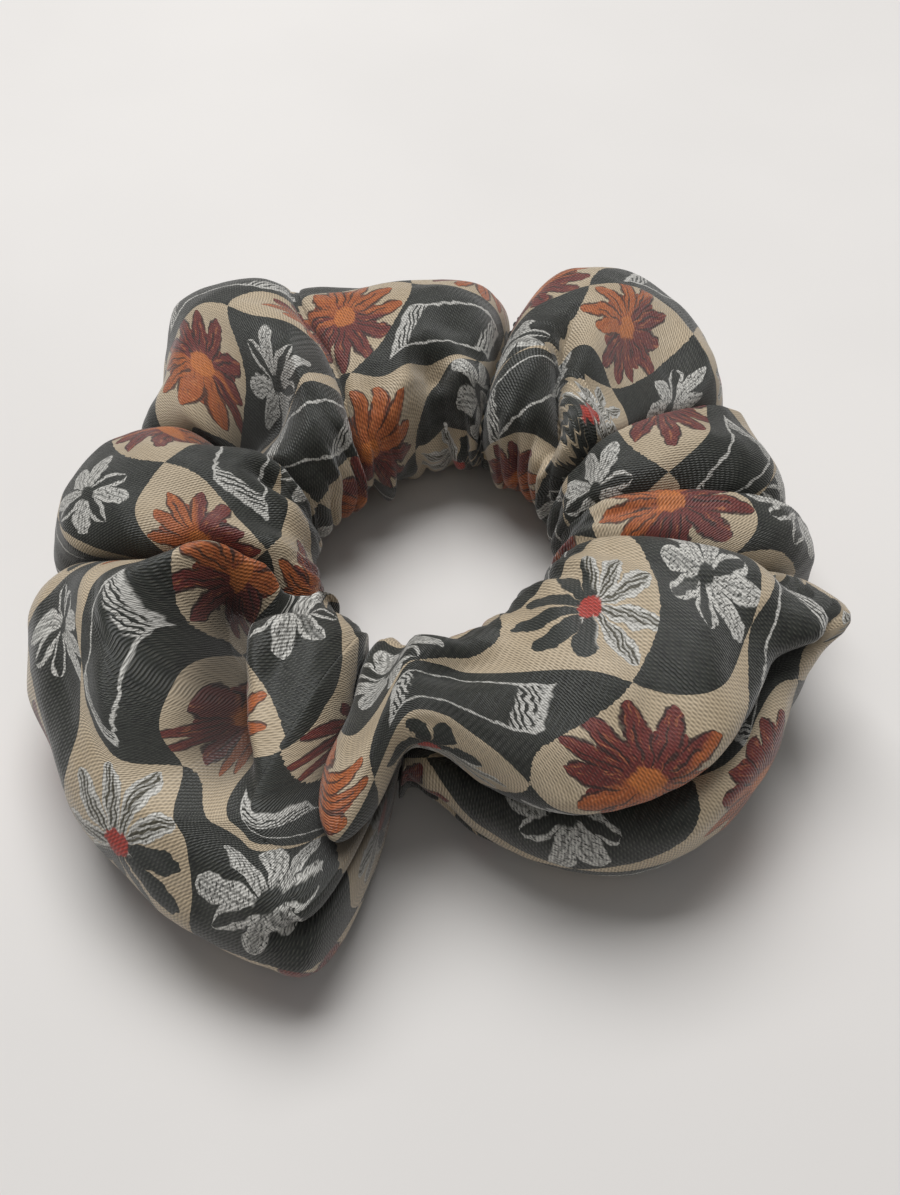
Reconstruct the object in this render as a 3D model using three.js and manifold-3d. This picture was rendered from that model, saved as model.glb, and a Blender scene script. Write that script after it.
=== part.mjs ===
// Fabric scrunchie: a gathered fabric sleeve threaded onto a sewn ring of flat elastic, lying on a table.
// Millimetres, +Z up, the table at z = 0. Angles are in degrees, counter-clockwise from +X seen from above.
//
// The real sleeve and the real elastic are each one continuous strip. Here each is divided at the same
// angles into eleven lengths, so that the ring can open as the elastic stretches. A length of sleeve (a
// gather) is one soft solid, because the bunched fabric fills it, with a channel that the elastic runs in.
// The two sewn joins are at the back: the sleeve's raw end is tucked into the mouth of its other end, and
// the elastic's end is lapped over its other end and tacked down. Both slide apart as the ring opens.
import * as THREE from "three";
import Module from "manifold-3d";
import { mergeVertices } from "three/addons/utils/BufferGeometryUtils.js";

const wasm = await Module();
wasm.setup();

// Driving dimensions
const CLEARANCE = 0.3; // between pieces that touch on the real object
const GATHER_GAP = 0.5; // between neighbouring gathers at rest
const ELASTIC_RADIUS = 27; // middle of the elastic's thickness, relaxed
const ELASTIC_THICKNESS = 1.4;
const ELASTIC_WIDTH = 7; // along Z
const ELASTIC_HEIGHT = 12.5; // the middle of its width above the table
const CHANNEL_THICKNESS = ELASTIC_THICKNESS + 3 * CLEARANCE;
const CHANNEL_WIDTH = ELASTIC_WIDTH + 4 * CLEARANCE;
const STRETCH_RADIUS = 25; // how far the ring opens outwards at full stretch
const THREAD_RADIUS = 0.35;
const SEAM_ANGLE = -38; // where the long seam runs round the sleeve's section, below its outer side
const SEAM_GROOVE_DEPTH = 2;
const SECTION_POINTS = 20;
const SECTION_POWER = 0.82; // below 1 the section is fuller than an ellipse
const STEPS_PER_GATHER = 7;
const FACES_PER_THREAD = 6;

// The closing joins, in the mouth of the last gather
const TUCK = { middle: 38.5, thickness: 13, height: 13, width: 13, spare: 2.5 };
const LAP_THICKNESS = 1.2;
const TACK = { length: 7, thickness: 0.5, turns: 6, inset: 4, reach: 2, halfThread: 0.8 };

// The sleeve's outline: its inner and outer radius, underside and top, at each crest and pinch.
// The biggest crests are the loose puffs, and the pinches between them are where the sleeve is bunched.
const STATIONS = [
  { angle: 8, inner: 20, outer: 53, under: 1.5, top: 24 },
  { angle: 20, inner: 20, outer: 56, under: 0, top: 28 },
  { angle: 33, inner: 22, outer: 55, under: 1.5, top: 24 },
  { angle: 56, inner: 21, outer: 66, under: 0, top: 30 },
  { angle: 74, inner: 23.5, outer: 50, under: 3, top: 23 },
  { angle: 93, inner: 21, outer: 55, under: 0, top: 29 },
  { angle: 113, inner: 21, outer: 57, under: 1, top: 26 },
  { angle: 130, inner: 20, outer: 66, under: 0, top: 30 },
  { angle: 142, inner: 20, outer: 58, under: 0, top: 28 },
  { angle: 155, inner: 21, outer: 51, under: 2, top: 24 },
  { angle: 171, inner: 19, outer: 57, under: 0, top: 29 },
  { angle: 187, inner: 19, outer: 56, under: 1, top: 26 },
  { angle: 204, inner: 19, outer: 62, under: 0, top: 31 },
  { angle: 221, inner: 21, outer: 65, under: 0, top: 29 },
  { angle: 239, inner: 23, outer: 67, under: 0, top: 26 },
  { angle: 249, inner: 22, outer: 64, under: 0, top: 24 },
  { angle: 256, inner: 23, outer: 54, under: 1.5, top: 22 },
  { angle: 272, inner: 22, outer: 46, under: 1, top: 27 },
  { angle: 288, inner: 20.5, outer: 53, under: 0, top: 30 },
  { angle: 304, inner: 19, outer: 58.5, under: 0, top: 31 },
  { angle: 319, inner: 18, outer: 58.5, under: 0, top: 31 },
  { angle: 335, inner: 18, outer: 59, under: 0, top: 30 },
  { angle: 350, inner: 18, outer: 56, under: 1, top: 27 },
];

// Where one gather ends and the next begins, from the closing seam round to it again.
const DIVISIONS = [74, 113, 155, 187, 221, 256, 288, 319, 350, 372, 398, 434];
const GATHERS = DIVISIONS.length - 1;

const MATERIALS = {
  sleeve: new THREE.MeshStandardMaterial({ color: 0x9c8a72, roughness: 0.72, metalness: 0 }),
  elastic: new THREE.MeshStandardMaterial({ color: 0xe9e6df, roughness: 0.85, metalness: 0 }),
  thread: new THREE.MeshStandardMaterial({ color: 0x24272a, roughness: 0.6, metalness: 0 }),
};

const radians = THREE.MathUtils.degToRad;
const two = (n) => String(n + 1).padStart(2, "0");

// A point at a radius, angle and height.
function polar(radius, angle, height) {
  const a = radians(angle);
  return new THREE.Vector3(radius * Math.cos(a), radius * Math.sin(a), height);
}

// The sleeve's outline at any angle: each value eases from one station to the next.
function outlineAt(angle) {
  const first = STATIONS[0].angle;
  const turned = first + THREE.MathUtils.euclideanModulo(angle - first, 360);
  let i = STATIONS.length - 1;
  while (STATIONS[i].angle > turned) i -= 1;
  const a = STATIONS[i];
  const b = i + 1 < STATIONS.length ? STATIONS[i + 1] : { ...STATIONS[0], angle: first + 360 };
  const share = (turned - a.angle) / (b.angle - a.angle);
  const eased = share * share * (3 - 2 * share);
  const between = (key) => a[key] + (b[key] - a[key]) * eased;
  return { inner: between("inner"), outer: between("outer"), under: between("under"), top: between("top") };
}

// A point on the section at an angle round the ring: turn 0 is the outer side and 90 the top. The section is
// a superellipse, and a flat foot where it would go below its underside. Inset moves towards its middle.
function onSection(angle, turn, inset = 0) {
  const o = outlineAt(angle);
  const half = { r: (o.outer - o.inner) / 2 - inset, z: (o.top - o.under) / 2 - inset };
  const c = Math.cos(radians(turn));
  const s = Math.sin(radians(turn));
  const flatFoot = 0.86; // share of the half height where the foot is cut flat
  const z = Math.max(-flatFoot, Math.sign(s) * Math.abs(s) ** SECTION_POWER);
  const rise = (o.top - o.under) / (1 + flatFoot);
  return polar(
    (o.outer + o.inner) / 2 + half.r * Math.sign(c) * Math.abs(c) ** SECTION_POWER,
    angle,
    o.under + rise * flatFoot + (rise - inset) * z,
  );
}

// A closed solid from rings of points: each ring joins the next, and the two end rings are capped.
function solidFromRings(rings) {
  const n = rings[0].length;
  const positions = rings.flat().flatMap((p) => p.toArray());
  const index = [];
  for (let i = 0; i + 1 < rings.length; i += 1) {
    for (let j = 0; j < n; j += 1) {
      const k = (j + 1) % n;
      index.push(i * n + j, (i + 1) * n + j, (i + 1) * n + k);
      index.push(i * n + j, (i + 1) * n + k, i * n + k);
    }
  }
  // The caps are cut into triangles in each end ring's own plane.
  for (const [ring, start, flip] of [[rings[0], 0, false], [rings.at(-1), (rings.length - 1) * n, true]]) {
    for (const [a, b, c] of capTriangles(ring)) {
      index.push(start + a, start + (flip ? c : b), start + (flip ? b : c));
    }
  }
  const geometry = new THREE.BufferGeometry();
  geometry.setAttribute("position", new THREE.Float32BufferAttribute(positions, 3));
  geometry.setIndex(index);
  return turnedOut(geometry);
}

// The triangles that fill a flat ring, kept in the ring's own order.
function capTriangles(ring) {
  const normal = new THREE.Vector3();
  ring.forEach((p, i) => normal.add(new THREE.Vector3().crossVectors(p, ring[(i + 1) % ring.length])));
  normal.normalize();
  const across = new THREE.Vector3().subVectors(ring[1], ring[0]).normalize();
  const up = new THREE.Vector3().crossVectors(normal, across);
  const flat = ring.map((p) => new THREE.Vector2(p.dot(across), p.dot(up)));
  return THREE.ShapeUtils.triangulateShape(flat, []);
}

// The same geometry with its faces pointing out.
function turnedOut(geometry) {
  const p = geometry.getAttribute("position");
  const index = geometry.getIndex().array;
  const [a, b, c] = [new THREE.Vector3(), new THREE.Vector3(), new THREE.Vector3()];
  let volume = 0;
  for (let i = 0; i < index.length; i += 3) {
    a.fromBufferAttribute(p, index[i]);
    b.fromBufferAttribute(p, index[i + 1]);
    c.fromBufferAttribute(p, index[i + 2]);
    volume += a.dot(b.cross(c));
  }
  if (volume < 0) {
    for (let i = 0; i < index.length; i += 3) [index[i + 1], index[i + 2]] = [index[i + 2], index[i + 1]];
  }
  return geometry;
}

// A manifold-3d solid made from a closed geometry.
function manifoldOf(geometry) {
  const bare = geometry.clone();
  bare.deleteAttribute("normal");
  bare.deleteAttribute("uv");
  const merged = mergeVertices(bare, 1e-4);
  const mesh = new wasm.Mesh({
    numProp: 3,
    vertProperties: new Float32Array(merged.getAttribute("position").array),
    triVerts: new Uint32Array(merged.getIndex().array),
  });
  return new wasm.Manifold(mesh);
}

// A geometry with others cut out of it.
function cutFrom(geometry, cutters) {
  const made = cutters.reduce((solid, cutter) => solid.subtract(manifoldOf(cutter)), manifoldOf(geometry));
  const mesh = made.getMesh();
  const result = new THREE.BufferGeometry();
  result.setAttribute("position", new THREE.Float32BufferAttribute(mesh.vertProperties, 3));
  result.setIndex(new THREE.BufferAttribute(mesh.triVerts, 1));
  return result;
}

// Angles spread evenly between two.
function spread(from, to, steps) {
  return Array.from({ length: steps + 1 }, (_, i) => from + ((to - from) * i) / steps);
}

// The turn of each point of the section, with the seam's groove as three points close together.
const GROOVE_HALF_TURN = 4.5; // half the groove's width, in degrees round the section
const SECTION_TURNS = [
  ...Array.from({ length: SECTION_POINTS }, (_, i) => SEAM_ANGLE + (360 * (i + 0.5)) / SECTION_POINTS)
    .map((turn) => ({ turn, inset: 0 })),
  { turn: SEAM_ANGLE + 360 - GROOVE_HALF_TURN, inset: 0 },
  { turn: SEAM_ANGLE + 360, inset: SEAM_GROOVE_DEPTH },
  { turn: SEAM_ANGLE + 360 + GROOVE_HALF_TURN, inset: 0 },
];

// One length of the gathered sleeve, a soft solid, with the seam's groove along it.
function gatherBody(from, to) {
  const half = GATHER_GAP / 2;
  const middle = ELASTIC_RADIUS;
  const trim = THREE.MathUtils.radToDeg(half / middle);
  const rings = spread(from + trim, to - trim, STEPS_PER_GATHER).map((angle) =>
    SECTION_TURNS.map(({ turn, inset }) => onSection(angle, turn, inset)));
  return solidFromRings(rings);
}

// A band of rectangular section bent round the ring's axis.
function bandArc(radius, thickness, width, height, from, to, steps) {
  const corner = (angle, r, z) => polar(radius + (r * thickness) / 2, angle, height + (z * width) / 2);
  const rings = spread(from, to, steps).map((angle) => [
    corner(angle, 1, -1),
    corner(angle, 1, 1),
    corner(angle, -1, 1),
    corner(angle, -1, -1),
  ]);
  return solidFromRings(rings);
}

// The direction in which the first and the last gather part as the ring opens, pointing into the last one.
const middleOf = (k) => (DIVISIONS[k] + DIVISIONS[k + 1]) / 2;
const outwards = (angle) => polar(1, angle, 0);
const INTO_MOUTH = outwards(middleOf(GATHERS - 1)).sub(outwards(middleOf(0) + 360)).normalize();
const ACROSS_MOUTH = new THREE.Vector3().crossVectors(new THREE.Vector3(0, 0, 1), INTO_MOUTH).negate();
const CLOSING_TRAVEL = STRETCH_RADIUS * outwards(middleOf(0)).distanceTo(outwards(middleOf(GATHERS - 1)));
if (ACROSS_MOUTH.dot(outwards(DIVISIONS[0])) < 0) ACROSS_MOUTH.negate();

// A straight prism that runs into the mouth of the last gather: its section's points are [outwards, up] from
// the ring's axis and the table, and it runs between two distances from the closing seam.
function prismIntoMouth(section, start, end) {
  const ring = (along) => section.map(([out, up]) =>
    new THREE.Vector3(0, 0, up).addScaledVector(ACROSS_MOUTH, out).addScaledVector(INTO_MOUTH, along));
  return solidFromRings([ring(start), ring(end)]);
}

// An oval and a rectangle as sections for prismIntoMouth.
function oval(middleOut, middleUp, width, height, points = 16) {
  return Array.from({ length: points }, (_, i) => {
    const a = (2 * Math.PI * i) / points;
    return [middleOut + (width / 2) * Math.cos(a), middleUp + (height / 2) * Math.sin(a)];
  });
}
function rectangle(outFrom, outTo, upFrom, upTo) {
  return [[outFrom, upFrom], [outTo, upFrom], [outTo, upTo], [outFrom, upTo]];
}

// A round thread along a route of points; a closed route joins its own start.
function thread(points, closed, steps) {
  const route = new THREE.CatmullRomCurve3(points, closed, "centripetal");
  const shape = new THREE.Shape();
  for (let i = 0; i < FACES_PER_THREAD; i += 1) {
    const a = (2 * Math.PI * i) / FACES_PER_THREAD;
    const [x, y] = [THREAD_RADIUS * Math.cos(a), THREAD_RADIUS * Math.sin(a)];
    if (i === 0) shape.moveTo(x, y);
    else shape.lineTo(x, y);
  }
  shape.closePath();
  return new THREE.ExtrudeGeometry(shape, { steps, extrudePath: route, bevelEnabled: false });
}

const CHANNEL_RADIUS = ELASTIC_RADIUS;
const LAP_INNER = ELASTIC_RADIUS + ELASTIC_THICKNESS / 2 + CLEARANCE;
const LAP_OUTER = LAP_INNER + LAP_THICKNESS;
const LAP_LENGTH = CLOSING_TRAVEL + TUCK.spare;
const TUCK_LENGTH = CLOSING_TRAVEL + TUCK.spare;
const SEAM_START = 0.25; // how far the closing parts stand off the first gather's end

// The cutters that open the last gather's mouth for the tucked end and the lapped elastic.
function mouthCutters() {
  const outside = -8; // starts well outside the gather, so that the mouth is open
  return [
    prismIntoMouth(
      oval(TUCK.middle, TUCK.height, TUCK.thickness + 4 * CLEARANCE, TUCK.width + 4 * CLEARANCE),
      outside,
      TUCK_LENGTH + 1.5,
    ),
    prismIntoMouth(
      rectangle(
        ELASTIC_RADIUS - CHANNEL_THICKNESS / 2,
        LAP_OUTER + TACK.thickness + 3 * CLEARANCE,
        ELASTIC_HEIGHT - CHANNEL_WIDTH / 2,
        ELASTIC_HEIGHT + CHANNEL_WIDTH / 2,
      ),
      outside,
      LAP_LENGTH + 1.5,
    ),
  ];
}

const group = new THREE.Group();

function add(name, geometry, material) {
  const mesh = new THREE.Mesh(geometry, MATERIALS[material]);
  mesh.name = name;
  group.add(mesh);
}

// The repeated pieces: gather, elastic and long-seam thread, one of each per division.
for (let k = 0; k < GATHERS; k += 1) {
  const [from, to] = [DIVISIONS[k], DIVISIONS[k + 1]];
  const channel = bandArc(
    CHANNEL_RADIUS, CHANNEL_THICKNESS, CHANNEL_WIDTH, ELASTIC_HEIGHT, from - 4, to + 4, STEPS_PER_GATHER + 2,
  );
  const cutters = k === GATHERS - 1 ? [channel, ...mouthCutters()] : [channel];
  add(`sleeve_gather_${two(k)}`, cutFrom(gatherBody(from, to), cutters), "sleeve");

  const elasticTrim = THREE.MathUtils.radToDeg(CLEARANCE / 2 / ELASTIC_RADIUS);
  add(
    `elastic_${two(k)}`,
    bandArc(ELASTIC_RADIUS, ELASTIC_THICKNESS, ELASTIC_WIDTH, ELASTIC_HEIGHT,
      from + elasticTrim, to - elasticTrim, STEPS_PER_GATHER),
    "elastic",
  );

  const seamTrim = 1.5; // degrees kept clear at each end of a gather
  const sunk = THREAD_RADIUS * 0.4; // how far below the sleeve's surface the thread's middle lies
  const stitchLine = spread(from + seamTrim, to - seamTrim, STEPS_PER_GATHER)
    .map((angle) => onSection(angle, SEAM_ANGLE, sunk));
  add(`seam_thread_${two(k)}`, thread(stitchLine, false, STEPS_PER_GATHER), "thread");
}

// The sleeve's raw end, folded in and tucked into the mouth of the last gather.
add(
  "sleeve_tucked_end",
  prismIntoMouth(oval(TUCK.middle, TUCK.height, TUCK.thickness, TUCK.width), SEAM_START, TUCK_LENGTH),
  "sleeve",
);

// The elastic's end, lapped over its other end.
add(
  "elastic_lapped_end",
  prismIntoMouth(
    rectangle(LAP_INNER, LAP_OUTER, ELASTIC_HEIGHT - ELASTIC_WIDTH / 2, ELASTIC_HEIGHT + ELASTIC_WIDTH / 2),
    SEAM_START,
    LAP_LENGTH,
  ),
  "elastic",
);

// The zigzag tack through the lap: one thread that goes up and down across the elastic's width.
function tackOutline() {
  const turns = Array.from({ length: TACK.turns + 1 }, (_, i) => [
    TACK.inset + (TACK.length * i) / TACK.turns,
    i % 2 ? TACK.reach : -TACK.reach,
  ]);
  const upperEdge = turns.map(([along, up]) => [along, up + TACK.halfThread]);
  const lowerEdge = turns.map(([along, up]) => [along, up - TACK.halfThread]).reverse();
  return [...upperEdge, ...lowerEdge];
}
function tackSolid() {
  const gap = 0.1; // off the lap's outer face
  const ring = (out) => tackOutline().map(([along, up]) =>
    new THREE.Vector3(0, 0, ELASTIC_HEIGHT + up)
      .addScaledVector(ACROSS_MOUTH, out)
      .addScaledVector(INTO_MOUTH, along));
  return solidFromRings([ring(LAP_OUTER + gap), ring(LAP_OUTER + gap + TACK.thickness)]);
}
add("elastic_tack", tackSolid(), "thread");

// The stitches that close the sleeve: a thread round the outside of the last gather's mouth.
function closingStitches() {
  const mouth = DIVISIONS[GATHERS] - 2.2;
  const proud = THREAD_RADIUS + 0.6;
  const points = Array.from({ length: 24 }, (_, i) => onSection(mouth, (360 * i) / 24, -proud));
  return thread(points, true, 48);
}
add("closing_stitches", closingStitches(), "thread");

// The origin is the middle of the ring's outline, on the table.
const outline = new THREE.Box3().setFromObject(group);
const middle = outline.getCenter(new THREE.Vector3());
group.position.set(-middle.x, -middle.y, -outline.min.z);

export default group;
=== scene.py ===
"""A fabric scrunchie: a gathered sleeve of printed satin over a ring of flat elastic.

The sleeve's surface is a function of two angles, one round the ring and one round the sleeve's own section.
It is worked out once on one grid and cut into lengths; the first and last ride the end gathers.
"""

import math

import bpy
import numpy as np
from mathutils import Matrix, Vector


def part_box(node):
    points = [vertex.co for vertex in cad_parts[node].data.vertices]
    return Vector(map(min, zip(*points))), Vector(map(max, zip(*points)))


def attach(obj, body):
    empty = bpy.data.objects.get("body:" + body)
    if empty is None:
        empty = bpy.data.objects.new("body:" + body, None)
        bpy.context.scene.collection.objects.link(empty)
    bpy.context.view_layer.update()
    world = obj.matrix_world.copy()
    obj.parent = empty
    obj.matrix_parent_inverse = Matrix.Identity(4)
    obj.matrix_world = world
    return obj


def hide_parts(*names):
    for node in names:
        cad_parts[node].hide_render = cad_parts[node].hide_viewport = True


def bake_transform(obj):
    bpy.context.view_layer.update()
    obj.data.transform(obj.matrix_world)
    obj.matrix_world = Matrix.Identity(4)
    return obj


bl_info = {
    "name": "Fabric Scrunchie",
    "version": (1, 0, 0),
    "blender": (4, 5, 0),
    "location": "View3D > Sidebar > Scrunchie",
    "description": "Builds a gathered, printed scrunchie with its elastic, seams and stitches",
    "category": "Add Mesh",
}

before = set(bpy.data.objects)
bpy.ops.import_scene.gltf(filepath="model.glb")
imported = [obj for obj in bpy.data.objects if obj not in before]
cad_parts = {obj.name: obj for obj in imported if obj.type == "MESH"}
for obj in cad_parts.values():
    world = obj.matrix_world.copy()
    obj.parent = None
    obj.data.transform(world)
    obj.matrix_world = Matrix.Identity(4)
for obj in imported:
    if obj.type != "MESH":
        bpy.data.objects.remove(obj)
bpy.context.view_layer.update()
MM = 0.001


def ring_middle():
    """The ring's axis, as the middle of the elastic's outline, in metres."""
    corners = np.array([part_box(name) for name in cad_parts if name[:9] in ("elastic_0", "elastic_1")])
    low, high = corners[:, 0].min(axis=0), corners[:, 1].max(axis=0)
    return (low + high) / 2


RING = ring_middle()

# ---------------------------------------------------------------------------------------------------------
# The sleeve's shape. Angles are degrees round the ring from +X, lengths millimetres.

# The outline of the puffs, as if no crease cut into them: inner and outer radius, underside and top.
OUTLINE = np.array([
    [0, 18, 55.5, 0, 27], [14, 18, 55, 0, 28], [23, 18.5, 53.5, 0, 28], [32, 19, 56, 0, 28.5], [40, 20, 59.5, 0, 29],
    [50, 21, 63.5, 0, 30], [58, 21, 66, 0, 30], [67, 21, 62, 0, 30], [76, 22.5, 56, 0, 29], [87, 23.5, 53.5, 0, 29.5],
    [97, 22.5, 54, 0, 29], [108, 19, 58, 0, 28], [121, 18, 67, 0, 29], [131, 18, 67, 0, 29], [138, 18, 60, 0, 29],
    [146, 18.5, 54, 0, 28], [160, 18, 55.5, 0, 28], [172, 18, 57, 0, 29], [187, 18, 58.5, 0, 28], [203, 18, 62, 0, 28],
    [213, 18.5, 63, 0, 27.5], [222, 19, 65.5, 0, 27], [240, 20, 67.5, 0, 25], [251, 20, 68.3, 0, 24],
    [257, 20, 67.5, 0, 25], [260.5, 20, 58, 0, 26], [264, 20.5, 43, 3, 27.5], [269, 22, 41, 4, 30],
    [277, 22, 46, 1, 31],
    [290, 20, 55.5, 0, 31.5], [303, 18.5, 60, 0, 31.5], [316, 18, 59.5, 0, 31.5], [326, 18, 57, 0, 31],
    [334, 18, 56.5, 0, 31], [347, 18, 57, 0, 28],
])

# The creases between puffs. Each has its angle on the outer side, top, inner side and underside. Also there,
# it has the depth of its rounded shoulders, the depth of the narrow slit below them, and how far the puff
# before it leans over it (degrees). Its shoulders' widths before and after it are degrees too.
CREASES = [
    dict(
        at=74, line=(74, 75, 73, 74), depth=(0, 0, 0, 0),
        slit=(0, 0, 0, 0), lean=(0, 0, 0, 0), before=9, after=9, neck=True,
    ),
    dict(
        at=113, line=(113, 118, 127, 113), depth=(2.5, 5, 4, 4),
        slit=(0, 0, 0, 2), lean=(0, 0, 0, 0), before=14, after=12,
    ),
    dict(
        at=155, line=(157, 152, 157, 155), depth=(7, 8, 6, 6),
        slit=(12, 6, 3, 5), lean=(1, 3, 3, 0), before=10, after=8,
    ),
    dict(
        at=187, line=(185, 188, 199, 185), depth=(5, 8, 5.5, 5),
        slit=(12, 6, 2, 5), lean=(0, 0, 5, 0), before=8, after=10,
    ),
    dict(
        at=256, line=(262, 250, 243.5, 261), depth=(16, 8, 2, 8),
        slit=(3, 5, 1, 3), lean=(-1, -4, -1, 0), before=4.5, after=11,
    ),
    dict(
        at=346, line=(350, 344, 336.5, 349), depth=(6, 8, 4.5, 6),
        slit=(12, 5, 2, 5), lean=(3, 4, 2, 0), before=10, after=7,
    ),
    dict(
        at=368, line=(364.5, 363.5, 362.5, 365), depth=(4, 7, 4.5, 5),
        slit=(12, 5, 2, 5), lean=(0, -2, -2, 0), before=7, after=9,
    ),
    dict(
        at=391, line=(387.5, 388.5, 391, 388), depth=(6, 8, 4.5, 6),
        slit=(12, 5, 2, 5), lean=(0, -3, -2, 0), before=8, after=9,
    ),
]

# Stretches of the sleeve that are pulled round the ring: where the pull grows, where it fades, and how far it
# goes (degrees) on the outer side, top, inner side and underside.
PULLS = [dict(grows=(171, 187), fades=(204, 238.5), shift=(0, 4, 15, 0))]

# Folds inside a puff: points as (angle round the ring, angle round the section), half width and depth, and
# whether the fold is a rounded dish or has a sharp bottom.
FURROWS = [
    dict(
        path=(
            (250, 12), (262, 12), (277, 3), (290, 9), (302, 19),
            (315, 26), (326, 25), (334, 22), (340, 36), (344, 70),
        ),
        width=6, depth=9.5,
    ),
    dict(
        path=((220, 150), (213, 128), (208, 110), (210, 96), (217, 87), (226, 77), (234, 65), (240, 52)), width=7,
        depth=13, dish=True,
    ),
    dict(path=((216, 118), (210, 106), (212, 96)), width=6, depth=8),
    dict(path=((205, 120), (219, 100), (232, 80), (242, 60)), width=12, depth=4, dish=True),
    dict(path=((228, 132), (223, 108), (231, 86), (242, 64)), width=5, depth=-2.5, dish=True),
    dict(path=((195, 85), (203, 85), (211, 78), (222, 67), (233, 54)), width=7, depth=-2.5, dish=True),
    dict(path=((190, 88), (197, 112), (208, 150)), width=6, depth=-2.5, dish=True),
    dict(path=((248, 62), (254.5, 45), (255, 20), (255, -10)), width=3.5, depth=2.5),
    dict(path=((152, 62), (147, 84), (141, 100), (133, 114)), width=11, depth=9, dish=True),
    dict(path=((124, 72), (128, 98), (130, 128), (132, 155)), width=7, depth=-2, dish=True),
    dict(path=((420, 85), (415.5, 110), (411, 126), (405, 146), (399.5, 172)), width=6, depth=7.5),
    dict(path=((402, 125), (401, 100), (399.5, 75), (398, 50)), width=9, depth=4, dish=True),
    dict(path=((84, 195), (87, 160), (90, 130), (97, 105)), width=7, depth=3, dish=True),
    dict(path=((79, 130), (82, 105), (86, 80)), width=6, depth=2.5, dish=True),
    dict(path=((166, 185), (168, 140), (164, 110)), width=6, depth=2, dish=True),
    dict(path=((262, 185), (268, 140), (280, 118)), width=6, depth=2.5, dish=True),
    dict(path=((262, 78), (275, 92), (290, 106)), width=5, depth=1.8, dish=True),
    dict(path=((384, 190), (386, 150), (385, 120)), width=6, depth=2, dish=True),
]

# Low swellings and hollows: angle round the ring, angle round the section, their spreads, and height.
SWELLINGS = [
    (214, 93, 4.5, 13, -5.0), (60, 70, 10, 30, 1.0), (248, 150, 14, 22, 2.0), (218, 133, 6, 13, -2.0),
    (337, 27, 5.5, 15, 8.5), (281, 80, 14, 40, -1.5),
]

# Angles where one length of sleeve ends and the next begins, the middle of each gather.
DIVISIONS = np.array([74, 113, 155, 187, 221, 256, 288, 319, 350, 372, 398, 434], float)
LENGTH_ENDS = (DIVISIONS[:-1] + DIVISIONS[1:]) / 2
PULLED_DIVISION = 221.0  # the joint whose sleeve starts further on, because of the pull before it
GATHERS = [f"gather_{k + 1:02d}" for k in range(len(LENGTH_ENDS))]
MIDDLE = (32.0, 13.0)  # the radius and height that the creases draw in towards
# The modelled gathers hold less cloth than a usual scrunchie's strip.
SEAM_TURN = -38.0  # the long seam's angle round the section
NECK = (35.0, 13.0, 10.2, 6.2)  # radius, height and half sizes of the gathered neck at the closing join
CLOSING_ANGLE = 74.0
TUCK_LENGTH = 18.0
ELASTIC_RADIUS, ELASTIC_HEIGHT = 27.0, 12.5
SECTION_MM = 0.31  # length round the section for each degree, about a puff of middle size
RIPPLE_RADIUS = 45  # where the ripples' length round the ring is measured
FULLNESS = 0.84  # below 1 the section is fuller than an ellipse


def between(table, angle, column):
    """A smooth value at any angle: a cubic through the table's values whose slopes come from their
    neighbours, closed round the circle."""
    x = table[:, 0]
    y = table[:, column]
    count = len(x)
    turned = np.mod(angle - x[0], 360.0) + x[0]
    i = np.clip(np.searchsorted(x, turned, side="right") - 1, 0, count - 1)
    xs = np.concatenate([[x[-1] - 360], x, [x[0] + 360, x[1] + 360]])
    ys = np.concatenate([[y[-1]], y, [y[0], y[1]]])
    x0, x1, x2, x3 = xs[i], xs[i + 1], xs[i + 2], xs[i + 3]
    y0, y1, y2, y3 = ys[i], ys[i + 1], ys[i + 2], ys[i + 3]
    slope1 = (y2 - y0) / (x2 - x0)
    slope2 = (y3 - y1) / (x3 - x1)
    h = x2 - x1
    f = (turned - x1) / h
    return (
        (2 * f**3 - 3 * f**2 + 1) * y1 + (f**3 - 2 * f**2 + f) * h * slope1
        + (3 * f**2 - 2 * f**3) * y2 + (f**3 - f**2) * h * slope2
    )


def round_section(values, turn):
    """Eases between four values given on the outer side, top, inner side and underside."""
    quarter = np.mod(turn, 360.0) / 90.0
    i = np.floor(quarter).astype(int) % 4
    share = quarter - np.floor(quarter)
    share = share * share * (3 - 2 * share)
    v = np.array(values, float)
    return v[i] + (v[(i + 1) % 4] - v[i]) * share


def length_ends_about(at):
    """The two ends of the length of sleeve that holds a crease at this angle."""
    ends = np.concatenate([[DIVISIONS[0]], LENGTH_ENDS, [DIVISIONS[-1]]])
    i = np.searchsorted(ends, at, side="right") - 1
    return (ends[i - 1], ends[i + 1]) if ends[i] == at else (ends[i], ends[min(i + 1, len(ends) - 1)])


def tent(angle, crease):
    """1 at a crease, falling evenly to 0 at the ends of its length of sleeve."""
    if crease.get("neck"):
        return np.zeros_like(angle)
    low, high = length_ends_about(crease["at"])
    return np.clip(np.minimum((angle - low) / (crease["at"] - low), (high - angle) / (high - crease["at"])), 0, 1)


SLIT = 0.05  # the share of a crease's width that its narrow slit takes


def shoulder(offset, before, after):
    """A quarter circle up from a crease: 0 in the crease, 1 beyond its shoulder."""
    q = np.where(offset < 0, -offset / before, offset / after)
    q = np.clip((q - SLIT) / (1 - SLIT), 0, 1)
    return np.sqrt(1 - (1 - q) ** 2)


def slit(offset, before, after):
    """1 at the bottom of a crease's slit, falling evenly to 0 where its shoulders begin."""
    return 1 - np.clip(np.where(offset < 0, -offset / before, offset / after) / SLIT, 0, 1)


def smoothstep(x):
    """0 below 0, 1 above 1, and the cubic 3x^2 - 2x^3 between."""
    x = np.clip(x, 0, 1)
    return x * x * (3 - 2 * x)


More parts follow.
